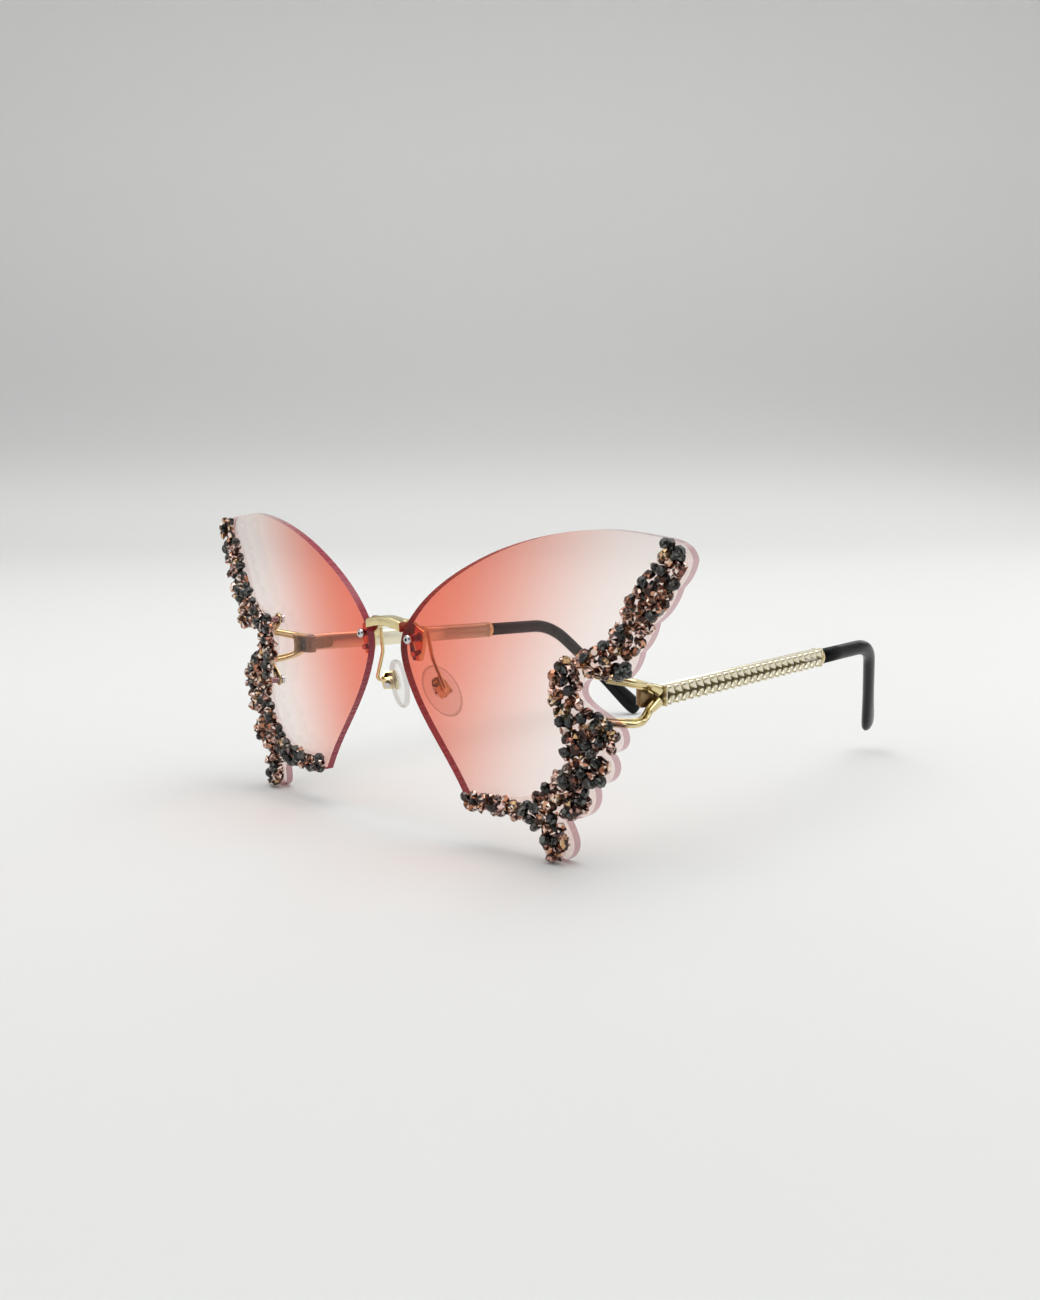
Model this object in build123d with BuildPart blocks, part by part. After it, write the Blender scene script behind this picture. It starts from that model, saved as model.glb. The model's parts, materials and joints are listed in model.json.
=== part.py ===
"""Rimless butterfly sunglasses: two curved wing lenses with stone-set edges, held by a
small bridge and two forked end pieces, with hinged link temples and rocking nose pads.

Millimetres. +X is the wearer's left, -Y the front, +Z up. The glasses stand open on the
tails of the lower wings and on the right temple tip, and the origin is on that ground,
in the middle of their width and depth.
"""

from build123d import *
import math
import os

os.makedirs("parts", exist_ok=True)

# Lenses
lens_width = 71.3
lens_height = 70.6
lens_gap = 11.0
lens_thickness = 2.0
lens_radius = 400.0
lens_axis_across = 26.0
nose_point_share = 0.602
waist_share = (0.672, 0.530)
nose_edge_to_origin = 72.87
scallop_bulge = 0.08

# Stones and their bed
bed_thickness = 0.4
stone_pitch = 2.95
stone_radius = 1.3
stone_height = 1.75
stone_sides = 6
stone_top_share = 0.18
stone_seat_share = 0.6
stone_size_shares = (1.0, 0.84, 0.93)

# Screws and their running clearance
screw_radius = 0.7
fit_clearance = 0.05
screw_head_radius = 1.1
screw_head_height = 0.75
screw_dome_share = 0.8
slot_width = 0.35
slot_depth = 0.3
washer_radius = 1.2
washer_thickness = 0.2
nut_radius = 1.25
nut_sides = 6
nut_height = 1.3

# Bridge, placed from the inmost point of the lens's edge
bridge_screw_place = (2.5, 2.0)
bridge_peg_place = (3.0, -1.4)
bridge_peg_radius = 0.6
bridge_peg_depth = 1.2
bridge_foot_thickness = 1.0
bridge_foot_width = 4.6
bridge_foot_height = 9.2
bridge_bar_rise = 5.5
bridge_bar_height = 2.3
bridge_bar_front = 0.6
bridge_bar_drop = 0.9
bridge_bar_overlap = 0.2
bridge_edge = 0.5

# Nose pads, in a frame of their own that leans down the nose and faces it
pad_box_place = (3.6, 9.4, -10.4)
pad_down_shares = (0.36, 0.39, -0.848)
pad_face_shares = (-0.88, 0.46, 0.05)
pad_length = 13.8
pad_width = 7.8
pad_thickness = 1.6
pad_edge = 0.6
pad_below_box = 1.3
pad_box_gap = 0.5
pad_box_length = 3.0
pad_box_wall = 0.4
pad_cheek = 0.7
pad_tang_radius = 0.9
pad_tang_width = 1.6
pad_tang_clearance = 0.1
pad_plate_length = 5.6
pad_plate_width = 3.4
pad_plate_thickness = 0.5
pad_screw_radius = 0.45
pad_screw_head = 0.8
pad_screw_head_height = 0.45

# Wires that carry the nose pads, placed like the bridge
wire_radius = 0.45
wire_start_place = (2.9, 4.1)
wire_run_from_foot = 2.6
wire_middle_place = (3.0, 7.0, -3.1)
wire_run_to_box = 1.9
wire_bends = (1.3, 5.0, 0.9)

# Forked end pieces, placed from the lens's waist
fork_foot_thickness = 1.0
fork_foot_width = 3.6
fork_upper_screw_place = (-1.8, 6.0)
fork_upper_root_place = (0.8, 3.2)
fork_lower_screw_place = (-0.8, -10.2)
fork_lower_root_place = (1.4, -7.3)
fork_drop = 5.3
fork_rise = 12.1
fork_arm_width = 2.2

# Hinges
hinge_inset = 3.4
hinge_before_seam = 1.5
hinge_pin_radius = 0.6
hinge_barrel_radius = 1.5
hinge_barrel_height = 4.2
hinge_middle_share = 0.38
hinge_gap = 0.1
hinge_swing_gap = 0.2
hinge_plate_thickness = 0.6
hinge_plate_length = 4.6
hinge_leaf_length = 6.0
hinge_leaf_thickness = 1.0
hinge_head_radius = 1.0
hinge_head_height = 0.5

# Temples
temple_past_waist = 6.6
temple_below_waist = 2.8
seam_back = 24.7
seam_gap = 0.3
link_lead = 0.3
link_pitch = 2.69
link_count = 24
link_end = 0.4
link_web_thickness = 1.5
link_web_height = 3.1
link_relief = 0.9
link_height = 4.7
link_bar_share = 0.72
link_lean_share = 0.42
link_heart_gap = 0.5
link_taper = 22.0
collar_length = 0.9
collar_height = 4.4
collar_thickness = 3.4
core_radius = 0.7
core_socket = 7.0
core_short_of_tip = 9.0
tip_height = 3.9
tip_thickness = 3.0
tip_straight = 26.1
tip_drop = 28.62
tip_reach = 28.0
tip_inward = 14.3
tip_bend = 24.0
tip_paddle = 24.0
left_temple_lift = 0.4
right_temple_lift = -2.35
right_temple_fold = 4.8

cut_overrun = 1.0

# Shapes as shares of the lens: across from its nose edge, and up from the ground
brow_shares = [
    (0.012, 0.655),
    (0.076, 0.737),
    (0.237, 0.857),
    (0.432, 0.945),
    (0.602, 0.987),
    (0.764, 1.000),
    (0.905, 0.984),
    (0.978, 0.961),
    (1.000, 0.922),
]
scallop_shares = [(1.000, 0.922), (0.960, 0.842), (0.893, 0.740), (0.851, 0.655), (0.810, 0.576)]
waist_shares = [
    (0.810, 0.576),
    (0.745, 0.575),
    (0.682, 0.556),
    (0.672, 0.530),
    (0.716, 0.477),
    (0.800, 0.413),
]
lower_wing_shares = [(0.800, 0.413), (0.748, 0.355), (0.702, 0.259), (0.602, 0.155)]
lower_lobe_bulges = (0.33, 0.49, 0.44)
tail_shares = [
    (0.602, 0.155),
    (0.640, 0.090),
    (0.646, 0.042),
    (0.600, 0.000),
    (0.557, 0.032),
    (0.558, 0.078),
    (0.505, 0.106),
    (0.400, 0.119),
    (0.268, 0.126),
]
nose_side_shares = [
    (0.268, 0.126),
    (0.170, 0.278),
    (0.072, 0.415),
    (0.016, 0.527),
    (0.000, 0.602),
    (0.012, 0.655),
]
band_shares = [
    (0.930, 0.985),
    (0.905, 0.925),
    (0.862, 0.865),
    (0.795, 0.755),
    (0.745, 0.680),
    (0.655, 0.640),
    (0.592, 0.590),
    (0.580, 0.500),
    (0.615, 0.425),
    (0.625, 0.335),
    (0.585, 0.258),
    (0.495, 0.190),
    (0.385, 0.174),
    (0.262, 0.170),
]
band_outer_shares = [(0.262, -0.100), (1.100, -0.100), (1.100, 1.100), (0.930, 1.100)]

# Bridge foot: shares of its width and height, measured from its screw
foot_shares = [
    (-0.880, 0.200),
    (-0.880, 0.450),
    (-0.420, 0.450),
    (0.520, 0.190),
    (0.520, -0.098),
    (0.400, -0.348),
    (0.300, -0.550),
    (-0.150, -0.550),
    (-0.326, -0.359),
    (-0.435, 0.022),
]

# Fork from the side: shares of its depth behind the lens, and of its rise over its lowest point
fork_upper_shares = [
    (-0.117, 1.000),
    (-0.011, 0.983),
    (0.227, 0.917),
    (0.458, 0.802),
    (0.689, 0.719),
    (0.908, 0.645),
    (1.000, 0.620),
]
fork_lower_shares = [
    (1.000, 0.264),
    (0.871, 0.140),
    (0.721, 0.083),
    (0.489, 0.050),
    (0.264, 0.041),
    (0.033, 0.025),
    (-0.117, 0.000),
]
fork_inner_shares = [
    (-0.117, 0.186),
    (0.033, 0.190),
    (0.214, 0.190),
    (0.446, 0.198),
    (0.558, 0.273),
    (0.590, 0.405),
    (0.508, 0.545),
    (0.364, 0.657),
    (0.146, 0.777),
    (-0.117, 0.818),
]
# Fork from above: shares of the temple's distance past the waist, and of the fork's depth
fork_plan_shares = [
    (-0.062, 0.056),
    (0.544, 0.113),
    (1.180, 0.200),
    (1.380, 0.350),
    (1.200, 0.560),
    (1.000, 0.720),
]

# Temple tip's paddle: share of its length, then its height and thickness shares there
paddle_shares = [
    (0.0, 1.0, 1.0),
    (0.2, 1.05, 1.0),
    (0.45, 1.3, 1.0),
    (0.7, 1.65, 1.0),
    (0.86, 1.72, 0.96),
    (0.95, 1.35, 0.8),
    (1.0, 0.6, 0.4),
]

# Places that follow from the sizes
origin_front = -nose_edge_to_origin
nose_edge = lens_gap / 2
nose_up = nose_point_share * lens_height
waist_across = nose_edge + waist_share[0] * lens_width
waist_up = waist_share[1] * lens_height
temple_across = waist_across + temple_past_waist
temple_up = waist_up - temple_below_waist
lens_axis_back = origin_front + math.sqrt(lens_radius**2 - (nose_edge + lens_axis_across) ** 2)
lens_side_depth = lens_axis_back - math.sqrt(
    lens_radius**2 - (nose_edge + lens_width + lens_axis_across) ** 2
)
front_view = Plane.XZ.offset(-(lens_side_depth + seam_back))
front_view_depth = seam_back + lens_side_depth - origin_front + cut_overrun
hole_radius = screw_radius + fit_clearance
seam_y = origin_front + seam_back
hinge_across = temple_across - hinge_inset
hinge_y = seam_y - hinge_before_seam
temple_start = seam_y + seam_gap
link_length = link_lead + link_count * link_pitch + link_end
collar_start = temple_start + link_length
tip_start = collar_start + collar_length
half_link_thickness = link_web_thickness / 2 + link_relief
bridge_screw_at = (nose_edge + bridge_screw_place[0], nose_up + bridge_screw_place[1])
bridge_peg_at = (nose_edge + bridge_peg_place[0], nose_up + bridge_peg_place[1])
wire_start = (nose_edge + wire_start_place[0], nose_up + wire_start_place[1])
fork_screw_places = [
    (waist_across + fork_upper_screw_place[0], waist_up + fork_upper_screw_place[1]),
    (waist_across + fork_lower_screw_place[0], waist_up + fork_lower_screw_place[1]),
]
fork_roots = [
    (waist_across + fork_upper_root_place[0], waist_up + fork_upper_root_place[1]),
    (waist_across + fork_lower_root_place[0], waist_up + fork_lower_root_place[1]),
]


def lens_points(shares):
    """Points of the left lens's front view from shares of its width and height."""
    return [(nose_edge + across * lens_width, up * lens_height) for across, up in shares]


def lens_surface(across, depth=0):
    """How far back the lens lies at a distance across, a depth under its front face."""
    radius = lens_radius - depth
    return lens_axis_back - math.sqrt(radius**2 - (across + lens_axis_across) ** 2)


def lens_plane(across, up, depth=0):
    """A plane flat on the left lens, facing the front, a depth under its front face."""
    lean = math.asin((across + lens_axis_across) / lens_radius)
    outward = Vector(math.sin(lean), -math.cos(lean), 0)
    foot = Vector(across, lens_surface(across), up) - outward * depth
    return Plane(origin=foot, x_dir=(math.cos(lean), math.sin(lean), 0), z_dir=outward)


def lobes(notches, bulges):
    """Round lobes from notch to notch; each bulges by a share of the line between its notches."""
    for upper, lower, bulge in zip(notches[:-1], notches[1:], bulges):
        across, up = upper[0] - lower[0], upper[1] - lower[1]
        middle = ((upper[0] + lower[0]) / 2 + up * bulge, (upper[1] + lower[1]) / 2 - across * bulge)
        ThreePointArc(upper, middle, lower)


def wing_outline():
    """The left lens's edge: brow, scalloped side, waist, lower wing, tail, nose side."""
    Spline(*lens_points(brow_shares))
    lobes(lens_points(scallop_shares), [scallop_bulge] * len(scallop_shares))
    Spline(*lens_points(waist_shares))
    lobes(lens_points(lower_wing_shares), lower_lobe_bulges)
    Spline(*lens_points(tail_shares))
    Spline(*lens_points(nose_side_shares))


def lens_shell(front_depth, back_depth):
    """Plan of the band between two depths under the lens's front face."""
    with Locations((-lens_axis_across, lens_axis_back)):
        Circle(lens_radius - front_depth)
        Circle(lens_radius - back_depth, mode=Mode.SUBTRACT)


def save(piece, name):
    piece.label = name
    export_step(piece, f"parts/{name}.step")


def save_pair(piece, name):
    """Writes a left piece and its mirrored right twin."""
    save(piece, f"{name}_left")
    with BuildPart() as twin:
        mirror(piece, about=Plane.YZ)
    save(twin.part, f"{name}_right")


# Lenses, drilled for the bridge's screw and peg and for the fork's two screws
with BuildPart() as lens:
    with BuildSketch(front_view):
        with BuildLine():
            wing_outline()
        make_face()
    extrude(amount=front_view_depth)
    with BuildSketch(Plane.XY):
        lens_shell(0, lens_thickness)
    extrude(amount=lens_height, mode=Mode.INTERSECT)
    with BuildSketch(*[lens_plane(*place) for place in (bridge_screw_at, *fork_screw_places)]):
        Circle(hole_radius)
    extrude(amount=lens_thickness + cut_overrun, both=True, mode=Mode.SUBTRACT)
    with BuildSketch(lens_plane(*bridge_peg_at, lens_thickness - bridge_peg_depth - fit_clearance)):
        Circle(bridge_peg_radius + fit_clearance)
    extrude(amount=-lens_thickness, mode=Mode.SUBTRACT)
save_pair(lens.part, "lens")

# Clear resin bed along the outer edge of each lens, which holds the stones
with BuildPart() as stone_bed:
    with BuildSketch(front_view) as band:
        with BuildLine():
            edge = Spline(*lens_points(band_shares))
            Polyline(edge @ 1, *lens_points(band_outer_shares), edge @ 0)
        make_face()
        with BuildLine():
            wing_outline()
        make_face(mode=Mode.INTERSECT)
    extrude(amount=front_view_depth)
    with BuildSketch(Plane.XY):
        lens_shell(-bed_thickness, 0)
    extrude(amount=lens_height, mode=Mode.INTERSECT)
save_pair(stone_bed.part, "stone_bed")

# Stones: pointed, six-sided, in close rows over the bed, in three sizes
row_pitch = stone_pitch * math.sqrt(3) / 2
band_face = band.sketch.faces()[0]


def on_band(across, up, margin):
    """Whether a stone's whole foot stands on the bed."""
    for step in range(stone_sides):
        turn = math.radians(step * 360 / stone_sides)
        foot = front_view.from_local_coords(
            (across + margin * math.cos(turn), up + margin * math.sin(turn), 0)
        )
        if not band_face.is_inside(foot):
            return False
    return True


stone_places = []
for row in range(math.ceil(lens_height / row_pitch)):
    for column in range(math.ceil(lens_width / stone_pitch)):
        across = nose_edge + (column + (row % 2) / 2) * stone_pitch
        up = (row + 0.5) * row_pitch
        if on_band(across, up, stone_radius * stone_seat_share):
            stone_places.append((across, up))
print("stones on each lens:", len(stone_places))

with BuildPart() as stones:
    for size_index, size_share in enumerate(stone_size_shares):
        radius = stone_radius * size_share
        height = stone_height * size_share
        lean = math.degrees(math.atan(radius * (1 - stone_top_share) / height))
        chosen = stone_places[size_index :: len(stone_size_shares)]
        with BuildSketch(*[lens_plane(across, up, -bed_thickness) for across, up in chosen]):
            RegularPolygon(radius, stone_sides)
        extrude(amount=height, taper=lean)
save_pair(stones.part, "stones")

# Bridge: a saddle bar between the lenses, with a foot behind each of them
half_height = bridge_bar_height / 2
bar_up = nose_up + bridge_bar_rise
bar_reach = nose_edge + bridge_bar_overlap
end_up = bar_up - bridge_bar_drop
with BuildPart() as saddle:
    with BuildSketch(Plane.XZ.offset(bridge_bar_front - origin_front)):
        with BuildLine():
            top = ThreePointArc(
                (-bar_reach, end_up + half_height),
                (0, bar_up + half_height),
                (bar_reach, end_up + half_height),
            )
            base = ThreePointArc(
                (-bar_reach, end_up - half_height),
                (0, bar_up - half_height),
                (bar_reach, end_up - half_height),
            )
            Line(top @ 0, base @ 0)
            Line(top @ 1, base @ 1)
        make_face()
    extrude(amount=-(bridge_bar_front + lens_thickness + bridge_foot_thickness))
    fillet(saddle.edges().filter_by(GeomType.CIRCLE), bridge_edge)
with BuildPart() as foot:
    with BuildSketch(front_view):
        outline = [
            (bridge_screw_at[0] + across * bridge_foot_width, bridge_screw_at[1] + up * bridge_foot_height)
            for across, up in foot_shares
        ]
        Polygon(*outline, align=None)
    extrude(amount=front_view_depth)
    with BuildSketch(Plane.XY):
        lens_shell(lens_thickness, lens_thickness + bridge_foot_thickness)
    extrude(amount=lens_height, mode=Mode.INTERSECT)
    with BuildSketch(lens_plane(*bridge_screw_at, lens_thickness)):
        Circle(hole_radius)
    extrude(amount=bridge_foot_thickness + cut_overrun, both=True, mode=Mode.SUBTRACT)
    with BuildSketch(lens_plane(*bridge_peg_at, lens_thickness - bridge_peg_depth)):
        Circle(bridge_peg_radius)
    extrude(amount=-(bridge_peg_depth + bridge_foot_thickness / 2))
with BuildPart() as bridge:
    add(saddle.part)
    add(foot.part)
    mirror(foot.part, about=Plane.YZ)
save(bridge.part, "bridge")

# Screws, washers and nuts that clamp the lenses to the bridge
with BuildPart() as bridge_screw:
    with BuildSketch(lens_plane(*bridge_screw_at, -washer_thickness)):
        Circle(screw_head_radius)
    extrude(amount=screw_head_height)
    rim = bridge_screw.edges().group_by(Axis.Y)[0]
    fillet(rim, screw_head_height * screw_dome_share)
    with BuildSketch(lens_plane(*bridge_screw_at, -washer_thickness)):
        Circle(screw_radius)
    extrude(amount=-(washer_thickness + lens_thickness + bridge_foot_thickness + nut_height))
save_pair(bridge_screw.part, "bridge_screw")

with BuildPart() as bridge_washer:
    with BuildSketch(lens_plane(*bridge_screw_at)):
        Circle(washer_radius)
        Circle(hole_radius, mode=Mode.SUBTRACT)
    extrude(amount=washer_thickness)
save_pair(bridge_washer.part, "bridge_washer")

with BuildPart() as bridge_nut:
    with BuildSketch(
        lens_plane(*bridge_screw_at, lens_thickness + bridge_foot_thickness)
    ):
        RegularPolygon(nut_radius, nut_sides)
        Circle(hole_radius, mode=Mode.SUBTRACT)
    extrude(amount=-nut_height)
save_pair(bridge_nut.part, "bridge_nut")

# Nose pad: box on the wire's end, tang and plate held in it by a cross screw, clear pad
pad_frame = Plane(
    origin=(nose_edge + pad_box_place[0], origin_front + pad_box_place[1], nose_up + pad_box_place[2]),
    x_dir=pad_down_shares,
    z_dir=pad_face_shares,
)
tang_room = pad_tang_width + 2 * pad_tang_clearance
box_width = tang_room + 2 * pad_cheek
box_floor = -(pad_tang_radius + pad_tang_clearance)
box_back = box_floor - pad_box_wall
box_front = pad_tang_radius + pad_tang_clearance
pad_back = box_front + pad_box_gap


def pad_side(offset):
    """A plane along the cross screw, whose x runs down the pad and y towards its back."""
    return Plane(
        origin=pad_frame.from_local_coords((0, offset, 0)),
        x_dir=pad_frame.x_dir,
        z_dir=pad_frame.y_dir,
    )


with BuildPart() as pad_box:
    with BuildSketch(pad_frame.offset(box_back)):
        Rectangle(pad_box_length, box_width)
    extrude(amount=box_front - box_back)
    with BuildSketch(pad_frame.offset(box_floor)):
        Rectangle(pad_box_length + cut_overrun, tang_room)
    extrude(amount=box_front - box_floor + cut_overrun, mode=Mode.SUBTRACT)
    with BuildSketch(pad_side(0)):
        Circle(pad_screw_radius + fit_clearance)
    extrude(amount=box_width, both=True, mode=Mode.SUBTRACT)
save_pair(pad_box.part, "pad_box")

with BuildPart() as pad_tang:
    with BuildSketch(pad_side(-pad_tang_width / 2)):
        Circle(pad_tang_radius)
        with Locations((0, -pad_back / 2)):
            Rectangle(2 * pad_tang_radius, pad_back)
        Circle(pad_screw_radius + fit_clearance, mode=Mode.SUBTRACT)
    extrude(amount=pad_tang_width)
    with BuildSketch(pad_frame.offset(pad_back)):
        Ellipse(pad_plate_length / 2, pad_plate_width / 2)
    extrude(amount=pad_plate_thickness)
save_pair(pad_tang.part, "pad_tang")

with BuildPart() as nose_pad:
    with BuildSketch(pad_frame.offset(pad_back)):
        with Locations((pad_below_box, 0)):
            Ellipse(pad_length / 2, pad_width / 2)
    extrude(amount=pad_thickness)
    fillet(nose_pad.edges(), pad_edge)
    with BuildSketch(pad_frame.offset(pad_back)):
        Ellipse(pad_plate_length / 2, pad_plate_width / 2)
    extrude(amount=pad_plate_thickness, mode=Mode.SUBTRACT)
save_pair(nose_pad.part, "nose_pad")

with BuildPart() as pad_screw:
    with BuildSketch(pad_side(-box_width / 2)):
        Circle(pad_screw_radius)
    extrude(amount=box_width)
    with BuildSketch(pad_side(box_width / 2)):
        Circle(pad_screw_head)
    extrude(amount=pad_screw_head_height)
save_pair(pad_screw.part, "pad_screw")

# Wires from the bridge's feet to the pad boxes
wire_root = lens_plane(*wire_start, lens_thickness + bridge_foot_thickness)
wire_top = wire_root.from_local_coords((0, 0, -wire_run_from_foot))
wire_end = pad_frame.from_local_coords((0, 0, box_back))
wire_corner = pad_frame.from_local_coords((0, 0, box_back - wire_run_to_box))
wire_middle = (
    nose_edge + wire_middle_place[0],
    origin_front + wire_middle_place[1],
    nose_up + wire_middle_place[2],
)
with BuildPart() as pad_wire:
    with BuildLine() as wire_path:
        FilletPolyline(
            wire_root.origin,
            wire_top,
            wire_middle,
            wire_corner,
            wire_end,
            radius=list(wire_bends),
        )
    with BuildSketch(Plane(origin=wire_path.line @ 0, z_dir=wire_path.line % 0)):
        Circle(wire_radius)
    sweep()
save_pair(pad_wire.part, "pad_wire")

# Forked end pieces: two arms from the lens that meet before the hinge
fork_front = lens_surface(waist_across, lens_thickness)
fork_depth = seam_y - fork_front
fork_low = temple_up - fork_drop


def along(share_table):
    """Side-view points of the fork from shares of its depth and rise."""
    return [(fork_front + deep * fork_depth, fork_low + up * fork_rise) for deep, up in share_table]


with BuildPart() as fork:
    with BuildSketch(Plane.YZ.offset(temple_across - lens_width)):
        with BuildLine():
            upper = Spline(*along(fork_upper_shares))
            lower = Spline(*along(fork_lower_shares))
            inner = Spline(*along(fork_inner_shares))
            Line(upper @ 1, lower @ 0)
            Line(lower @ 1, inner @ 0)
            Line(inner @ 1, upper @ 0)
        make_face()
    extrude(amount=2 * lens_width)
    with BuildSketch(Plane.XY.offset(fork_low - fork_rise)):
        with BuildLine():
            plan = [
                (waist_across + across * temple_past_waist, fork_front + deep * fork_depth)
                for across, deep in fork_plan_shares
            ]
            heading = lens_plane(waist_across, waist_up).x_dir
            bend = Spline(*plan, tangents=[(heading.X, heading.Y), (0, 1)])
            Line(bend @ 1, (temple_across, seam_y))
        trace(line_width=fork_arm_width)
    extrude(amount=3 * fork_rise, mode=Mode.INTERSECT)
    add(lens.part, mode=Mode.SUBTRACT)
    with BuildSketch(Plane.XY):
        lens_shell(-seam_back, lens_thickness)
    extrude(amount=lens_height, mode=Mode.SUBTRACT)
with BuildPart() as fork_feet:
    with BuildSketch(front_view):
        for screw_place, root in zip(fork_screw_places, fork_roots):
            with BuildLine():
                Line(screw_place, root)
            trace(line_width=fork_foot_width)
        with Locations(*fork_screw_places, *fork_roots):
            Circle(fork_foot_width / 2)
    extrude(amount=front_view_depth)
    with BuildSketch(Plane.XY):
        lens_shell(lens_thickness, lens_thickness + fork_foot_thickness)
    extrude(amount=lens_height, mode=Mode.INTERSECT)
    with BuildSketch(*[lens_plane(*place) for place in fork_screw_places]):
        Circle(hole_radius)
    extrude(amount=-(lens_thickness + fork_foot_thickness + cut_overrun), mode=Mode.SUBTRACT)
with BuildPart() as fork_whole:
    add(fork.part)
    add(fork_feet.part)
save_pair(fork_whole.part, "fork")

with BuildPart() as fork_screws:
    fork_back = lens_thickness + fork_foot_thickness
    with BuildSketch(*[lens_plane(*place, fork_back) for place in fork_screw_places]):
        Circle(screw_radius)
    extrude(amount=fork_back)
    with BuildSketch(*[lens_plane(*place, fork_back) for place in fork_screw_places]):
        Circle(screw_head_radius)
    extrude(amount=-screw_head_height)
    with BuildSketch(*[lens_plane(*place, fork_back + screw_head_height) for place in fork_screw_places]):
        Rectangle(2 * screw_head_radius, slot_width)
    extrude(amount=slot_depth, mode=Mode.SUBTRACT)
save_pair(fork_screws.part, "fork_screws")

# Hinges: front leaf with two knuckles, temple leaf with one, and a screw for a pin
hinge_low = temple_up - hinge_barrel_height / 2
middle_height = hinge_barrel_height * hinge_middle_share
outer_height = (hinge_barrel_height - middle_height) / 2 - hinge_gap
fork_inside = temple_across - fork_arm_width / 2
plate_inside = fork_inside - hinge_plate_thickness
with BuildPart() as front_hinge:
    for low in (hinge_low, hinge_low + hinge_barrel_height - outer_height):
        with BuildSketch(Plane.XY.offset(low)):
            with Locations((hinge_across, hinge_y)):
                Circle(hinge_barrel_radius)
            with Locations(((hinge_across + fork_inside) / 2, hinge_y - hinge_barrel_radius / 2)):
                Rectangle(fork_inside - hinge_across, hinge_barrel_radius)
            with Locations((hinge_across, hinge_y)):
                Circle(hinge_pin_radius + fit_clearance, mode=Mode.SUBTRACT)
        extrude(amount=outer_height)
    with BuildSketch(Plane.YZ.offset(plate_inside)):
        with Locations((hinge_y + hinge_barrel_radius / 2 - hinge_plate_length / 2, temple_up)):
            RectangleRounded(hinge_plate_length, hinge_barrel_height, hinge_plate_thickness)
    extrude(amount=hinge_plate_thickness)
save_pair(front_hinge.part, "front_hinge")

with BuildPart() as hinge_screw:
    with BuildSketch(Plane.XY.offset(hinge_low)):
        with Locations((hinge_across, hinge_y)):
            Circle(hinge_pin_radius)
    extrude(amount=hinge_barrel_height)
    with BuildSketch(Plane.XY.offset(hinge_low + hinge_barrel_height)):
        with Locations((hinge_across, hinge_y)):
            Circle(hinge_head_radius)
            Rectangle(2 * hinge_head_radius, slot_width, mode=Mode.SUBTRACT)
    extrude(amount=hinge_head_height)
    with BuildSketch(Plane.XY.offset(hinge_low + hinge_barrel_height)):
        with Locations((hinge_across, hinge_y)):
            Circle(hinge_head_radius)
    extrude(amount=hinge_head_height - slot_depth)
save_pair(hinge_screw.part, "hinge_screw")

leaf_outside = temple_across - half_link_thickness
leaf_inside = leaf_outside - hinge_leaf_thickness
web_outside = plate_inside - hinge_swing_gap
with BuildPart() as temple_hinge:
    with BuildSketch(Plane.XY.offset(temple_up - middle_height / 2)):
        with Locations((hinge_across, hinge_y)):
            Circle(hinge_barrel_radius)
        with BuildLine():
            Polyline(
                (hinge_across - hinge_barrel_radius / 2, hinge_y),
                (web_outside - hinge_swing_gap, hinge_y),
                (web_outside - hinge_swing_gap, temple_start + hinge_leaf_thickness),
                (leaf_inside, temple_start + 2 * hinge_leaf_thickness),
                close=True,
            )
        make_face()
        with Locations((hinge_across, hinge_y)):
            Circle(hinge_pin_radius + fit_clearance, mode=Mode.SUBTRACT)
    extrude(amount=middle_height)
    with BuildSketch(Plane.YZ.offset(leaf_inside)):
        with Locations((temple_start + hinge_leaf_length / 2, temple_up)):
            RectangleRounded(hinge_leaf_length, link_web_height, hinge_leaf_thickness)
    extrude(amount=hinge_leaf_thickness)


# Temples: a cast bar of linked chevrons, a collar, a core wire and a bent tip
with BuildPart() as links:
    with BuildSketch(Plane.YZ.offset(temple_across)):
        with Locations((temple_start + link_length / 2, temple_up)):
            Rectangle(link_length, link_web_height)
    extrude(amount=link_web_thickness / 2)
    with BuildSketch(Plane.YZ.offset(temple_across)):
        with Locations((temple_start + link_lead / 2, temple_up)):
            Rectangle(link_lead, link_height)
        with Locations((temple_start + link_length - link_end / 2, temple_up)):
            Rectangle(link_end, link_height)
    extrude(amount=half_link_thickness)
    with BuildSketch(Plane.YZ.offset(temple_across + link_web_thickness / 2)):
        for index in range(link_count):
            outer = temple_start + link_lead + index * link_pitch
            heart = outer + link_pitch * link_lean_share
            bar = link_pitch * link_bar_share
            for side in (-1, 1):
                Polygon(
                    (heart, temple_up + side * link_heart_gap / 2),
                    (heart + bar, temple_up + side * link_heart_gap / 2),
                    (outer + bar, temple_up + side * link_height / 2),
                    (outer, temple_up + side * link_height / 2),
                    align=None,
                )
    extrude(amount=link_relief, taper=link_taper)
    mirror(about=Plane.YZ.offset(temple_across))
    with BuildSketch(Plane.XZ.offset(-(collar_start - core_socket))):
        with Locations((temple_across, temple_up)):
            Circle(core_radius + fit_clearance)
    extrude(amount=-(core_socket + cut_overrun), mode=Mode.SUBTRACT)

with BuildPart() as collar:
    with BuildSketch(Plane.XZ.offset(-collar_start)):
        with Locations((temple_across, temple_up)):
            Ellipse(collar_thickness / 2, collar_height / 2)
            Circle(core_radius + fit_clearance, mode=Mode.SUBTRACT)
    extrude(amount=-collar_length)

bend_point = Vector(temple_across, tip_start + tip_straight, temple_up)
tip_end = bend_point + Vector(-tip_inward, tip_reach, -tip_drop)
leg_heading = (tip_end - bend_point).normalized()
core_end = tip_end - leg_heading * core_short_of_tip
core_start = (temple_across, collar_start - core_socket, temple_up)
with BuildPart() as core:
    with BuildLine() as core_path:
        FilletPolyline(core_start, bend_point, core_end, radius=tip_bend)
    with BuildSketch(Plane(origin=core_path.line @ 0, z_dir=core_path.line % 0)):
        Circle(core_radius)
    sweep()

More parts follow.
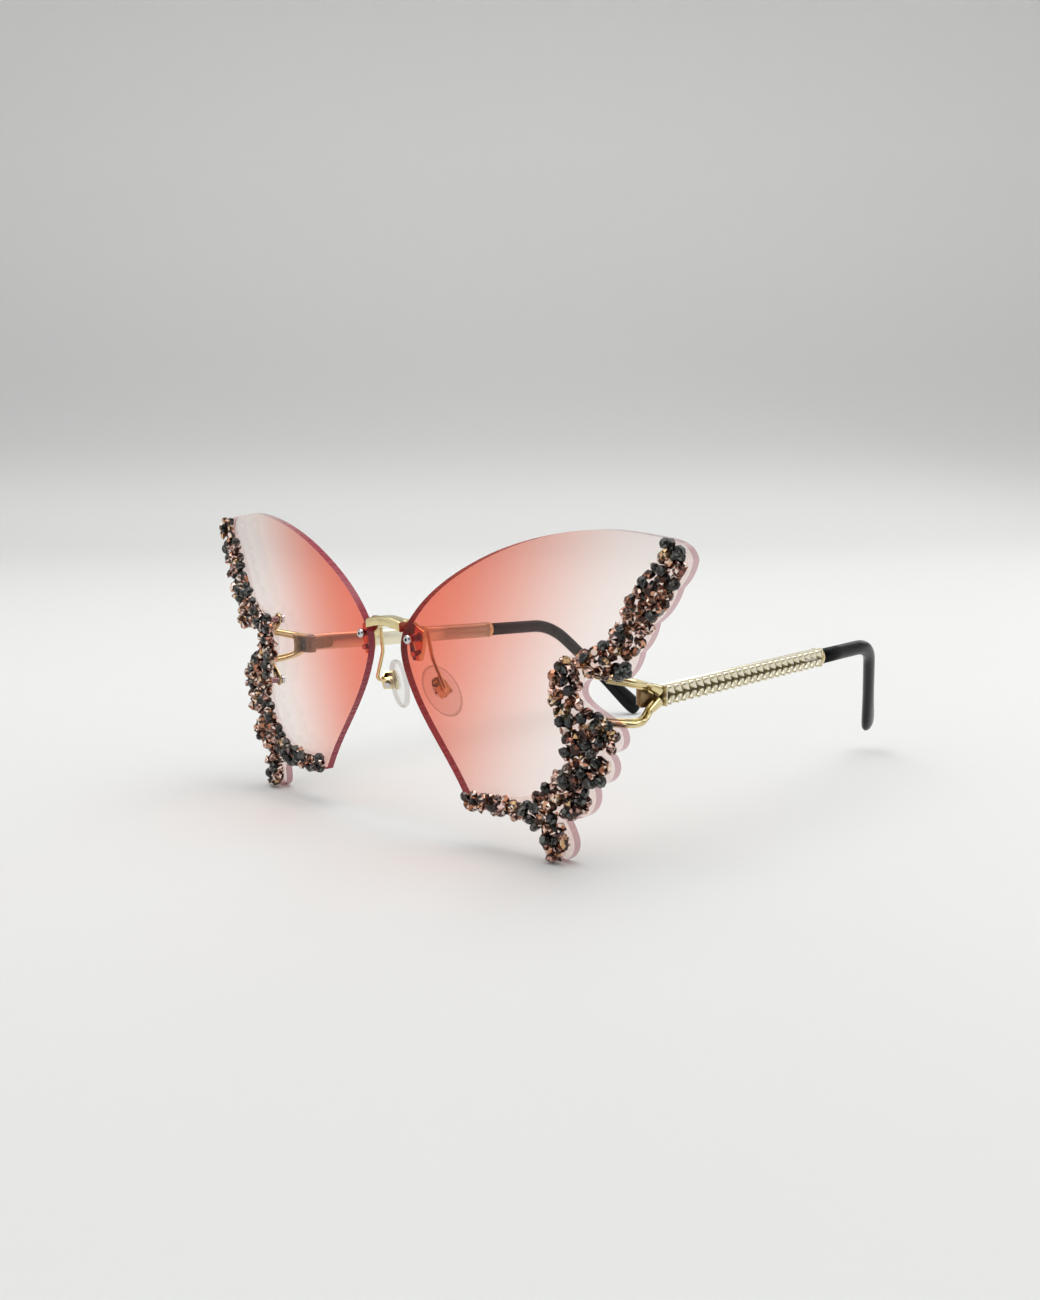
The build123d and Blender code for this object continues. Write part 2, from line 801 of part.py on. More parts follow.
bend_axis = Vector(0, 1, 0).cross(leg_heading).normalized()
bend_angle = Vector(0, 1, 0).get_angle(leg_heading)
sideways = Vector(1, 0, 0).rotate(Axis((0, 0, 0), bend_axis), bend_angle)
paddle_start = tip_end - leg_heading * tip_paddle
with BuildPart() as tip:
    with BuildLine() as tip_path:
        FilletPolyline((temple_across, tip_start, temple_up), bend_point, paddle_start, radius=tip_bend)
    with BuildSketch(Plane(origin=tip_path.line @ 0, x_dir=(1, 0, 0), z_dir=tip_path.line % 0)):
        Ellipse(tip_thickness / 2, tip_height / 2)
    sweep()
    for place, height_share, thickness_share in paddle_shares:
        centre = paddle_start + leg_heading * tip_paddle * place
        with BuildSketch(Plane(origin=centre, x_dir=sideways, z_dir=leg_heading)):
            Ellipse(tip_thickness / 2 * thickness_share, tip_height / 2 * height_share)
    loft()
    with BuildLine() as bore_path:
        FilletPolyline(core_start, bend_point, core_end, radius=tip_bend)
    with BuildSketch(Plane(origin=bore_path.line @ 0, z_dir=bore_path.line % 0)):
        Circle(core_radius + fit_clearance)
    sweep(path=bore_path.line, mode=Mode.SUBTRACT)

# Each temple stands at its own slope, and the right one is folded in a little on its hinge
lift_axis = Axis((0, temple_start, temple_up), (1, 0, 0))
right_pin = Axis((-hinge_across, hinge_y, 0), (0, 0, 1))
temple_pieces = (
    ("temple_links", links.part),
    ("temple_collar", collar.part),
    ("temple_core", core.part),
    ("temple_tip", tip.part),
)
for piece_name, piece in temple_pieces:
    save(piece.rotate(lift_axis, left_temple_lift), f"{piece_name}_left")
    twin = piece.mirror(Plane.YZ).rotate(lift_axis, right_temple_lift).rotate(right_pin, -right_temple_fold)
    save(twin, f"{piece_name}_right")
    print(piece_name, "lowest point on the right", round(twin.bounding_box().min.Z, 3))
save(temple_hinge.part, "temple_hinge_left")
save(temple_hinge.part.mirror(Plane.YZ).rotate(right_pin, -right_temple_fold), "temple_hinge_right")
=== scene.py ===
"""The looks of a pair of rimless butterfly sunglasses, laid out as an add-on.

Each operator finishes one group of pieces around the fixed frame: the tinted lenses, the
stones on their edges, the gold and steel parts, the chevron links of the temples, the black
tips and the clear pads. The stage operator sets the floor, the lamps and the camera.
"""

import json
import math
import random

import bmesh
import bpy
from bpy.props import FloatProperty, FloatVectorProperty, IntProperty, PointerProperty
from mathutils import Matrix, Vector
from mathutils.bvhtree import BVHTree


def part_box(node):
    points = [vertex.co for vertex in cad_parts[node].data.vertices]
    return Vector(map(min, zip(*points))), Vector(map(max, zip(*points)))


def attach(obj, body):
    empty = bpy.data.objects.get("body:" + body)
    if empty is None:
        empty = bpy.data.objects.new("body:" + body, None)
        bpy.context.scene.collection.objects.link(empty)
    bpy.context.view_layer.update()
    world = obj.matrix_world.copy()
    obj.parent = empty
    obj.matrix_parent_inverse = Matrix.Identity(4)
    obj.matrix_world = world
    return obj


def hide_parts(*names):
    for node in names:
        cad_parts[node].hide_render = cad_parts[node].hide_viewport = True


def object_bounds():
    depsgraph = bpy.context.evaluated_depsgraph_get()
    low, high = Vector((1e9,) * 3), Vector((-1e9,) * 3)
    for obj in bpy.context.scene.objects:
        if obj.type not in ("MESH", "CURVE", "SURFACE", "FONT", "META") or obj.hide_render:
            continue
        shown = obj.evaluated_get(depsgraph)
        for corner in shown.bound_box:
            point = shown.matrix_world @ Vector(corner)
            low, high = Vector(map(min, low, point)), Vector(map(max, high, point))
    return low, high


bl_info = {
    "name": "Butterfly Sunglasses",
    "version": (1, 0, 0),
    "blender": (4, 5, 0),
    "location": "View3D > Sidebar > Eyewear",
    "description": "Finishes for rimless sunglasses with stone-set wing lenses",
    "category": "Object",
}

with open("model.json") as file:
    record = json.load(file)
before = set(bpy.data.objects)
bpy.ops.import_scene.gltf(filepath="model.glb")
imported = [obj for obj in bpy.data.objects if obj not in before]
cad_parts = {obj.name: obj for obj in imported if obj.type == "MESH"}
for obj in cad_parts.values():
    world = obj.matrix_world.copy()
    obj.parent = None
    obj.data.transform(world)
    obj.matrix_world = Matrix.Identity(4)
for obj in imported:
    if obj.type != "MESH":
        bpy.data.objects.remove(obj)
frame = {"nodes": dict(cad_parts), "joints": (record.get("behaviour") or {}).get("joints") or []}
cad_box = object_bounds()

MM = 0.001
WHITE = (1.0, 1.0, 1.0)

# The sides, and the directions up, across to the wearer's left, and back from the lenses
SIDES = {"left": 1, "right": -1}
UP = Vector((0, 0, 1))
OUT = Vector((1, 0, 0))
BACK = Vector((0, 1, 0))

# The left fork's arms, from the screw to the seam: place, half height and half depth in mm
UPPER_ARM = (
    (50.6, -64.20, 44.5, 0.6, 0.35),
    (51.6, -63.96, 43.4, 1.7, 0.50),
    (54.2, -63.44, 40.9, 1.2, 0.55),
    (57.0, -62.31, 40.1, 0.85, 0.80),
    (61.2, -60.92, 39.6, 0.75, 1.00),
    (62.5, -58.53, 38.9, 0.75, 1.00),
    (61.3, -55.18, 38.0, 0.75, 1.00),
    (60.2, -52.63, 37.3, 0.80, 1.00),
    (60.0, -50.40, 36.5, 1.00, 1.05),
    (60.0, -48.60, 35.75, 1.20, 1.10),
)
LOWER_ARM = (
    (51.7, -63.95, 26.0, 0.6, 0.35),
    (52.6, -63.76, 27.2, 1.7, 0.50),
    (54.8, -63.31, 29.9, 1.2, 0.55),
    (57.0, -62.31, 30.4, 0.85, 0.80),
    (61.2, -60.92, 30.5, 0.75, 1.00),
    (62.5, -58.53, 30.6, 0.75, 1.00),
    (61.3, -55.18, 31.0, 0.75, 1.00),
    (60.2, -52.63, 31.7, 0.80, 1.00),
    (60.0, -50.40, 32.6, 1.00, 1.05),
    (60.0, -48.60, 33.45, 1.20, 1.10),
)

# The row of those tables from which the lip along an arm's inside starts
ARM_LIP_FROM = 3

# Rings of a stone's upper side: reach and height as shares of the radius and of a dome's height
DOME_HEIGHT = 0.95
DOME_RINGS = ((0.96, 0.30), (0.80, 0.58), (0.52, 0.80), (0.22, 0.92))
POINT_RINGS = ((0.62, 0.46),)
TABLE_REACH = 0.58
GIRDLE_HEIGHT = 0.1
STONE_SHARES = (0.85, 0.95, 1.0, 1.0)

# How stones lie: running share of the stones, then least and most lean in degrees
STONE_LEANS = ((0.56, 5, 50), (0.92, 60, 105), (1.0, 140, 178))

# Stops of the two families of stones, in linear light
STONE_TONES = {
    "copper": [
        (0.0, (0.42, 0.16, 0.08)),
        (0.26, (0.66, 0.33, 0.20)),
        (0.48, (0.70, 0.43, 0.20)),
        (0.60, (0.26, 0.09, 0.055)),
        (0.74, (0.60, 0.34, 0.27)),
        (0.90, (0.15, 0.08, 0.06)),
    ],
    "smoky": [
        (0.0, (0.010, 0.011, 0.010)),
        (0.35, (0.018, 0.024, 0.019)),
        (0.6, (0.034, 0.021, 0.016)),
        (0.8, (0.006, 0.006, 0.006)),
    ],
}
# Each family's glint is a painted highlight that some facets take
STONE_LOOKS = {
    "copper": {"glint": (1.0, 0.84, 0.74), "metallic": 0.85, "coat": 0.6},
    "smoky": {"glint": (0.16, 0.17, 0.15), "metallic": 0.2, "coat": 0.25},
}

# A facet's random number: a painted dark reflection below the first, a painted glint from the second, a
# step between
DARK_REFLECTION_FACETS = (0.38, 0.46)
GLINT_FACETS = (0.78, 0.84)

# A link's upper lobe and lower bar from the middle outwards: rise, lean and width as shares
LOBE_ROWS = (
    (0.0, 1.0, 0.22),
    (0.14, 0.88, 0.44),
    (0.34, 0.70, 0.74),
    (0.55, 0.50, 0.94),
    (0.75, 0.34, 0.98),
    (0.90, 0.26, 0.80),
    (1.0, 0.24, 0.45),
)
BAR_ROWS = (
    (0.0, 1.0, 0.40),
    (0.18, 0.80, 0.78),
    (0.40, 0.55, 0.84),
    (0.62, 0.30, 0.76),
    (0.80, 0.10, 0.92),
    (0.92, 0.0, 1.15),
    (1.0, -0.04, 0.75),
)

# The wider end of a black tip: place along it, height and thickness as shares
PADDLE_ROWS = (
    (0.0, 1.0, 1.0),
    (0.2, 1.04, 1.0),
    (0.4, 1.16, 1.0),
    (0.6, 1.36, 1.02),
    (0.75, 1.5, 1.04),
    (0.86, 1.55, 1.04),
    (0.93, 1.46, 1.0),
    (0.97, 1.25, 0.86),
    (0.99, 0.95, 0.62),
    (1.0, 0.5, 0.32),
)

# Painted light and shade on the studio's paper, from the near floor up to the top of the backdrop
PAPER_PAINTED_LIGHT = (
    (0.06, 0.655),
    (0.10, 0.70),
    (0.19, 0.745),
    (0.36, 0.825),
    (0.53, 0.915),
    (0.59, 0.90),
    (0.652, 0.73),
    (0.75, 0.73),
    (0.867, 0.93),
    (0.946, 1.0),
)


def colour(name, description, default):
    """A colour setting in linear light."""
    return FloatVectorProperty(
        name=name, description=description, subtype="COLOR", size=3, min=0, max=1, default=default
    )


def length(name, description, default):
    """A length setting in metres."""
    return FloatProperty(
        name=name, description=description, unit="LENGTH", precision=5, default=default
    )


def share(name, description, default):
    """A setting that is a part of something."""
    return FloatProperty(name=name, description=description, min=0, max=1, default=default)


def angle(name, description, degrees):
    """An angle setting."""
    default = math.radians(degrees)
    return FloatProperty(name=name, description=description, subtype="ANGLE", default=default)


def amount(name, description, default):
    """A setting that can't be less than nothing."""
    return FloatProperty(name=name, description=description, min=0, default=default)


class LensFinish(bpy.types.PropertyGroup):
    """The tint of the lenses and its fade."""

    tint: colour("Tint", "What one face of the lens lets through beside the nose", (0.945, 0.46, 0.37))
    clear: colour("Clear", "What one face lets through towards the stones", (0.99, 0.95, 0.935))
    edge_dark: colour("Nose Edge", "Cut edge beside the nose", (0.27, 0.014, 0.032))
    edge_streak: colour("Edge Streaks", "Saw marks on that cut edge", (0.30, 0.02, 0.042))
    edge_pale: colour("Wing Edge", "What the outer cut edge lets through", (0.66, 0.47, 0.50))
    edge_start: length("Edge Start", "Distance across up to which the cut edge is deep red", 26 * MM)
    edge_end: length("Edge End", "Distance across where the cut edge is pale", 58 * MM)
    fade_start: length("Fade Start", "Distance across where the tint begins to fade", 6 * MM)
    fade_end: length("Fade End", "Distance across where the lens is clear", 60 * MM)
    fade_level: length("Fade Level", "Height at which those distances hold", 46 * MM)
    fade_lean: share("Fade Lean", "How far the fade moves out for each unit of height", 0.40)
    shine: share("Shine", "Roughness of the polished faces", 0.03)
    edge_shine: share("Edge Shine", "Roughness of the outer cut edge", 0.08)


class StoneFinish(bpy.types.PropertyGroup):
    """The pointed stones and how they lie."""

    radius: length("Radius", "Radius of a stone's girdle", 1.42 * MM)
    point: length("Point", "Height of the pointed side", 1.35 * MM)
    crown: length("Crown", "Height of the flat side", 0.55 * MM)
    spacing: length("Spacing", "Least distance between stones of the first layer", 1.62 * MM)
    upper_spacing: length("Upper Spacing", "Least distance between stones of the second layer", 2.0 * MM)
    upper_lift: length("Upper Lift", "How far the second layer stands out", 1.0 * MM)
    margin: length("Margin", "From a stone's middle to the edge of its bed", 0.45 * MM)
    smoky: share("Smoky", "Share of the stones that are dark domes", 0.30)
    facets: IntProperty(name="Facets", description="Facets round a stone", min=5, max=16, default=8)
    seed: IntProperty(name="Seed", description="Start of the random draws", default=11)


class MetalFinish(bpy.types.PropertyGroup):
    """The gold and steel parts."""

    gold: colour("Gold", "Pale gold plating", (0.80, 0.685, 0.385))
    gold_warm: colour("Warm Gold", "Where the plating is thicker", (0.74, 0.60, 0.32))
    # Recess is painted shade, the dark strip behind the links' gaps; hinges mottle towards it at random
    recess: colour("Recess", "Gold in the gaps between the links", (0.05, 0.03, 0.012))
    hinge: colour("Hinge Gold", "The hinge leaves", (0.52, 0.36, 0.19))
    steel: colour("Steel", "Bright screws", (0.72, 0.72, 0.73))
    steel_dull: colour("Dull Steel", "Where their polish is worn", (0.55, 0.55, 0.56))
    # Drive Dark is painted shade: a dark disc where a driver's recess would lie in shadow, not cut
    painted_drive_shade: colour("Drive Dark", "The recess in a screw's head", (0.02, 0.02, 0.022))
    drive: length("Drive", "Radius of the recess in the bridge screws' heads", 0.38 * MM)
    lip: length("Lip", "Radius of the thin rim along the inside of a fork's arm", 0.30 * MM)
    rounding: length("Rounding", "Radius of the worn edges of cast parts", 0.35 * MM)


class LinkSizes(bpy.types.PropertyGroup):
    """The chevron links of the temples."""

    count: IntProperty(name="Count", description="Links in a temple", min=3, max=60, default=24)
    pitch: length("Pitch", "Distance from link to link", 2.69 * MM)
    lead: length("Lead", "Plain gold ahead of the first link", 0.3 * MM)
    tail: length("Tail", "Plain gold behind the last link", 0.4 * MM)
    half_height: length("Half Height", "From the middle to the top of a link", 2.32 * MM)
    lean: length("Lean", "How far a link's middle lies behind its ends", 1.4 * MM)
    lobe: length("Lobe", "Radius of a link's upper lobe along the temple", 1.14 * MM)
    bar: length("Bar", "Radius of a link's lower bar along the temple", 0.62 * MM)
    proud: length("Proud", "From the temple's middle plane to a bar's ridge", 1.62 * MM)
    start_aside: length("Start Aside", "From the hinge pin out to the bar's middle", 3.4 * MM)
    start_back: length("Start Back", "From the hinge pin back to the bar's start", 1.8 * MM)
    left_lift: angle("Left Lift", "Slope of the left bar", 0.4)
    right_lift: angle("Right Lift", "Slope of the right bar", -2.35)
    right_fold: angle("Right Fold", "How far the right bar rests folded in", 4.8)


class TipSizes(bpy.types.PropertyGroup):
    """The black tips, bent down behind the ear."""

    height: length("Height", "Height of a tip's oval", 3.8 * MM)
    thickness: length("Thickness", "Thickness of a tip's oval", 3.0 * MM)
    collar: length("Collar", "Length of the gold collar ahead of a tip", 0.9 * MM)
    straight: length("Straight", "From the collar to the bend's corner", 26.1 * MM)
    drop: length("Drop", "How far the bent part goes down", 28.62 * MM)
    reach: length("Reach", "How far the bent part goes back", 28.0 * MM)
    inward: length("Inward", "How far the bent part goes in", 14.3 * MM)
    corner: length("Corner", "From the bend's corner to where each side is straight", 7.5 * MM)
    paddle: length("Paddle", "Length of the wider end", 24.0 * MM)


class PlasticFinish(bpy.types.PropertyGroup):
    """The clear and the black plastics."""

    resin: colour("Resin", "What the glue under the stones lets through", (0.975, 0.94, 0.935))
    pad: colour("Pad", "What a nose pad's middle lets through", (0.965, 0.965, 0.96))
    # Pad Rim is painted shade: a darker outline in place of the light a clear edge bends away
    pad_edge_shade: colour("Pad Rim", "What its rolled rim lets through", (0.72, 0.68, 0.66))
    pad_milk: colour("Pad Milk", "The slight milkiness of the pads", (0.9, 0.9, 0.9))
    black: colour("Black", "The polished sleeves", (0.002, 0.002, 0.0025))
    black_rub: colour("Rubbed Black", "Where the sleeves are rubbed dull", (0.006, 0.006, 0.007))


class StudioSettings(bpy.types.PropertyGroup):
    """Floor, backdrop and lamps."""

    paper: colour("Paper", "Cast of the floor and the backdrop", (1.0, 1.0, 0.98))
    paper_run: length("Paper Run", "From the camera along the floor and up to the top of the view", 2.4)
    key: amount("Key Lamp", "Power of the large lamp overhead, in watts", 6.5)
    fill: amount("Fill Lamp", "Power of the lamp in front, in watts", 0.8)
    rim: amount("Rim Lamp", "Power of the lamp behind, in watts", 0.8)
    sky: amount("Sky", "Strength of the light from all round", 0.84)
    dim: share("Dim Side", "How bright the room behind the camera is beside the rest", 0.16)


class Wire:
    """A shader socket that takes part in a sum."""

    def __init__(self, paint, socket):
        self.paint = paint
        self.socket = socket

    def maths(self, operation, first, second=0.0):
        return self.paint.node("Math", {"operation": operation}, {0: first, 1: second})

    def __add__(self, other):
        return self.maths("ADD", self, other)

    def __sub__(self, other):
        return self.maths("SUBTRACT", self, other)

    def __rsub__(self, other):
        return self.maths("SUBTRACT", other, self)

    def __mul__(self, other):
        return self.maths("MULTIPLY", self, other)

    def __truediv__(self, other):
        return self.maths("DIVIDE", self, other)

    def __rtruediv__(self, other):
        return self.maths("DIVIDE", other, self)

    def __abs__(self):
        return self.maths("ABSOLUTE", self)

    def __pow__(self, other):
        return self.maths("POWER", self, other)

    __radd__ = __add__
    __rmul__ = __mul__

    def rise(self, low, high):
        """0 up to low and 1 from high, with a smooth step between."""
        inputs = {"Value": self, "From Min": low, "From Max": high}
        return self.paint.node("MapRange", {"interpolation_type": "SMOOTHSTEP"}, inputs)


class Paint:
    """A material, built one node at a time."""

    def __init__(self, name, holder=None):
        self.material = holder or bpy.data.materials.new(name)
        self.material.use_nodes = True
        self.tree = self.material.node_tree
        self.tree.nodes.clear()

    def node(self, kind, settings=None, inputs=None, output=0):
        """A node of that kind, with its settings, then its inputs. Returns one output."""
        made = self.tree.nodes.new("ShaderNode" + kind)
        for key, value in (settings or {}).items():
            if key == "stops":
                self.set_stops(made.color_ramp, value)
            elif key == "between_stops":
                made.color_ramp.interpolation = value
            else:
                setattr(made, key, value)
        for key, value in (inputs or {}).items():
            if isinstance(value, Wire):
                self.tree.links.new(value.socket, made.inputs[key])
            else:
                made.inputs[key].default_value = value
        return Wire(self, made.outputs[output]) if made.outputs else made

    def set_stops(self, ramp, stops):
        while len(ramp.elements) < len(stops):
            ramp.elements.new(1)
        for element, (place, shade) in zip(ramp.elements, stops):
            element.position = place
            element.color = opaque(shade)

    def places(self):
        """Object coordinates in metres as three values."""
        where = self.node("TexCoord", output="Object")
        return [self.node("SeparateXYZ", inputs={0: where}, output=axis) for axis in range(3)]

    def noise(self, scale, detail=2.0, stretch=None):
        """Soft noise from 0 to 1, with about scale lumps to the metre."""
        where = self.node("TexCoord", output="Object")
        if stretch:
            where = self.node("VectorMath", {"operation": "MULTIPLY"}, {0: where, 1: stretch})
        return self.node("TexNoise", inputs={"Vector": where, "Scale": scale, "Detail": detail})

    def mix(self, factor, first, second, way="MIX"):
        """Two colours mixed."""
        inputs = {
            0: factor,
            6: first if isinstance(first, Wire) else opaque(first),
            7: second if isinstance(second, Wire) else opaque(second),
        }
        return self.node("Mix", {"data_type": "RGBA", "blend_type": way}, inputs, output=2)

    def bump(self, height, distance, strength):
        inputs = {"Height": height, "Distance": distance, "Strength": strength}
        return self.node("Bump", inputs=inputs)

    def see_through(self, shade):
        """What lies behind, tinted."""
        return self.node("BsdfTransparent", inputs={"Color": opaque(shade)})

    def surface(self, **sockets):
        """A principled surface. Underscores in names stand for spaces."""
        inputs = {key.replace("_", " "): value for key, value in sockets.items()}
        return self.node("BsdfPrincipled", inputs=inputs)

    def blend(self, factor, first, second):
        """Two surfaces mixed: the first at 0, the second at 1."""
        return self.node("MixShader", inputs={0: factor, 1: first, 2: second})

    def done(self, surface):
        self.node("OutputMaterial", inputs={"Surface": surface})
        return self.material


def opaque(shade):
    """A colour with its fourth value."""
    return (*tuple(shade)[:3], 1.0)


def glossed(paint, behind, roughness, normal=None, straight_on=0.045, edge_on=1.0):
    """A polished reflection over another surface, much stronger edge on."""
    extra = {"Normal": normal} if normal else {}
    gloss = {"Color": opaque(WHITE), "Roughness": roughness, **extra}
    mirror = paint.node("BsdfAnisotropic", inputs=gloss)
    aslant = paint.node("LayerWeight", inputs={"Blend": 0.5, **extra}, output=1)
    return paint.blend(straight_on + (edge_on - straight_on) * aslant**5, behind, mirror)


def lens_paint(finish):
    """Tinted resin that fades outwards, with deep red cut edges beside the nose."""
    paint = Paint("tinted_lens")
    across, _, up = paint.places()
    reach = abs(across) - (up - finish.fade_level) * finish.fade_lean
    fade = reach.rise(finish.fade_start, finish.fade_end)
    behind = paint.blend(fade, paint.see_through(finish.tint), paint.see_through(finish.clear))
    face = glossed(paint, behind, finish.shine, straight_on=0.03, edge_on=0.6)
    streaks = paint.noise(900, stretch=(1.0, 0.2, 1.0))
    deep = paint.surface(
        Base_Color=paint.mix(streaks, finish.edge_dark, finish.edge_streak),
        Roughness=0.18 + 0.2 * streaks,
        IOR=1.45,
    )
    outward = abs(across).rise(finish.edge_start, finish.edge_end)
    pale = glossed(paint, paint.see_through(finish.edge_pale), finish.edge_shine)
    edge = paint.blend(outward, deep, pale)
    facing = paint.node("TexCoord", output="Normal")
    depthwise = abs(paint.node("SeparateXYZ", inputs={0: facing}, output=1))
    on_face = depthwise.rise(0.55, 0.8)
    return paint.done(paint.blend(on_face, edge, face))


def resin_paint(finish):
    """Clear glue: nearly invisible, with small lumps that catch the light."""
    paint = Paint("clear_resin")
    lumps = paint.bump(paint.noise(1400, 3.0), 0.1 * MM, 0.4)
    behind = paint.see_through(finish.resin)
    return paint.done(glossed(paint, behind, 0.08, lumps, straight_on=0.02, edge_on=0.35))


def oval_frame(node):
    """The middle of an oval plate, and its long and short directions, each with its half length."""
    points = [vertex.co for vertex in frame["nodes"][node].data.vertices]
    low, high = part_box(node)
    middle = (Vector(low) + Vector(high)) / 2
    away = [point - middle for point in points]
    long_way = max(away, key=lambda point: point.length).normalized()
    sideways = [point - long_way * point.dot(long_way) for point in away]
    short_way = max(sideways, key=lambda point: point.length).normalized()
    return middle, [
        (way, max(abs(point.dot(way)) for point in away)) for way in (long_way, short_way)
    ]


def pad_paint(finish):
    """Clear soft pads, a little milky, with a rippled polish and painted shade along the rim for a clear
    edge's dark outline.
    """
    paint = Paint("clear_silicone")
    middle, ways = oval_frame("nose_pad_left")
    across, depth, up = paint.places()
    offset = (abs(across) - middle.x, depth - middle.y, up - middle.z)
    reach = 0.0
    for way, half in ways:
        x, y, z = way / half
        along = offset[0] * x + offset[1] * y + offset[2] * z
        reach = along * along + reach
    # Painted shade: a darker rim
    rim = reach.rise(0.86, 0.96)
    ripple = paint.bump(paint.noise(420, 2.0), 0.15 * MM, 0.5)
    behind = paint.blend(rim, paint.see_through(finish.pad), paint.see_through(finish.pad_edge_shade))
    milk = paint.node("BsdfTranslucent", inputs={"Color": opaque(finish.pad_milk)})
    film = paint.blend(0.02 + 0.06 * paint.noise(260), behind, milk)
    return paint.done(glossed(paint, film, 0.08, ripple, straight_on=0.03, edge_on=0.6))


def gold_paint(finish):
    """Polished pale gold plating, with slight waves, warm patches and rubbed spots."""
    paint = Paint("pale_gold")
    patches = paint.noise(320, 3.0)
    shade = paint.mix(patches.rise(0.35, 0.75), finish.gold, finish.gold_warm)
    rubs = paint.noise(1500, 4.0)
    waves = paint.bump(paint.noise(700, 1.0), 0.05 * MM, 0.5)
    surface = paint.surface(
        Base_Color=shade, Metallic=1.0, Roughness=0.10 + 0.10 * rubs.rise(0.4, 0.8), Normal=waves
    )
    return paint.done(surface)


def hinge_paint(finish):
    """The duller, browner plating of the hinge leaves."""
    paint = Paint("hinge_gold")
    shade = paint.mix(paint.noise(900, 3.0), finish.hinge, finish.recess)
    roughness = 0.28 + 0.15 * paint.noise(2000)
    return paint.done(paint.surface(Base_Color=shade, Metallic=1.0, Roughness=roughness))


def gap_shade_paint(finish):
    """Painted shade for the gaps between the links: dark brown mottled with warm gold."""
    paint = Paint("painted_gap_shade")
    shade = paint.mix(paint.noise(1200), finish.recess, finish.gold_warm)
    shade = paint.mix(0.75, shade, finish.recess)
    roughness = 0.35 + 0.2 * paint.noise(2500)
    return paint.done(paint.surface(Base_Color=shade, Metallic=0.8, Roughness=roughness))


def steel_paint(finish, name="silver_steel", recess_of=None):
    """Bright turned steel. A screw's head may have painted shade for its driver's recess, a dark disc.
    """
    paint = Paint(name)
    rings = paint.bump(paint.noise(3000, 1.0), 0.01 * MM, 0.4)
    shade = paint.mix(paint.noise(900), finish.steel, finish.steel_dull)
    if recess_of:
        low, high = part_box(recess_of)
        across, _, up = paint.places()
        aside = (abs(across) - (low[0] + high[0]) / 2) / finish.drive
        above = (up - (low[2] + high[2]) / 2) / finish.drive
        # Painted shade: dark within the drive's radius, where a recess would lie in shadow
        outside = (aside * aside + above * above).rise(0.7, 1.2)
        shade = paint.mix(outside, finish.painted_drive_shade, shade)
    roughness = 0.08 + 0.1 * paint.noise(1800)
    return paint.done(
        paint.surface(Base_Color=shade, Metallic=1.0, Roughness=roughness, Normal=rings)
    )


def acetate_paint(finish):
    """Glossy black sleeves with a soft ripple and a few dull rubs."""
    paint = Paint("black_acetate")
    ripple = paint.bump(paint.noise(160, 1.0), 0.06 * MM, 0.3)
    rubs = paint.noise(700, 5.0).rise(0.5, 0.8)
    black = paint.surface(
        Base_Color=paint.mix(rubs, finish.black, finish.black_rub),
        Roughness=0.20 + 0.14 * rubs,
        IOR=1.33,
        Specular_IOR_Level=0.35,
        Normal=ripple,
    )
    return paint.done(black)


def stone_paint(part):
    """Foiled cut glass: pointed stones in coppers and ambers, domes in smoke, with painted dark
    reflections and painted glints on random facets.
    """
    paint = Paint(part + "_stone")
    tone = paint.node("Attribute", {"attribute_name": "stone_tone"}, output="Color")
    kind = paint.node("SeparateColor", inputs={0: tone}, output=0)
    facet = paint.node("SeparateColor", inputs={0: tone}, output=1)
    look = STONE_LOOKS[part]
    ramp = {"stops": STONE_TONES[part], "between_stops": "CONSTANT"}
    shade = paint.node("ValToRGB", ramp, {0: kind})
    # Painted reflections: dark facets and glints stand in for what the facets mirror
    dark = paint.mix(1.0, shade, (0.06, 0.035, 0.03), "MULTIPLY")
    glint = paint.mix(0.8, shade, look["glint"])
    cut = paint.mix(facet.rise(*DARK_REFLECTION_FACETS), dark, shade)
    cut = paint.mix(facet.rise(*GLINT_FACETS), cut, glint)
    wear = paint.noise(2600, 2.0)
    surface = paint.surface(
        Base_Color=cut,
        Metallic=look["metallic"],
        Roughness=0.10 + 0.12 * wear,
        Coat_Weight=look["coat"],
        Coat_Roughness=0.03,
    )
    return paint.done(surface)


def made_object(name, mesh_maker, materials, body, replaced, smooth=False):
    """A new piece from what a mesh maker adds to an empty shape."""
    shape = bmesh.new()
    mesh_maker(shape)
    bmesh.ops.recalc_face_normals(shape, faces=shape.faces[:])
    mesh = bpy.data.meshes.new(name)
    shape.to_mesh(mesh)
    shape.free()
    for material in materials:
        mesh.materials.append(material)
    if smooth:
        mesh.shade_smooth()
    mounted(mesh, body, replaced)


def linked(name, data):
    """A new object in the scene."""
    made = bpy.data.objects.new(name, data)
    bpy.context.scene.collection.objects.link(made)
    return made


def mounted(mesh, body, replaced):
    """A piece of that mesh, riding on its body in place of CAD nodes."""
    piece = linked(mesh.name, mesh)
    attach(piece, body)
    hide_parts(*replaced)


def dress(nodes, material):
    """Gives CAD nodes a material."""
    for node in nodes:
        frame["nodes"][node].data.materials.clear()
        frame["nodes"][node].data.materials.append(material)


def both(*names):
    """The node names of both sides."""
    return [f"{name}_{side}" for name in names for side in SIDES]


def smooth_curves(nodes, degrees):
    """Smooth shading across the fine facets of curved CAD faces, sharp over an angle."""
    for node in nodes:
        frame["nodes"][node].data.shade_smooth()
        frame["nodes"][node].data.set_sharp_from_angle(angle=math.radians(degrees))


class EYEWEAR_OT_tint_lenses(bpy.types.Operator):
    """Tint the lenses and clear the resin that holds the stones"""

    bl_idname = "eyewear.tint_lenses"
    bl_label = "Tint Lenses"

    def execute(self, context):
        dress(both("lens"), lens_paint(context.scene.eyewear_lens))
        dress(both("stone_bed", "bridge_washer"), resin_paint(context.scene.eyewear_plastics))
        return {"FINISHED"}


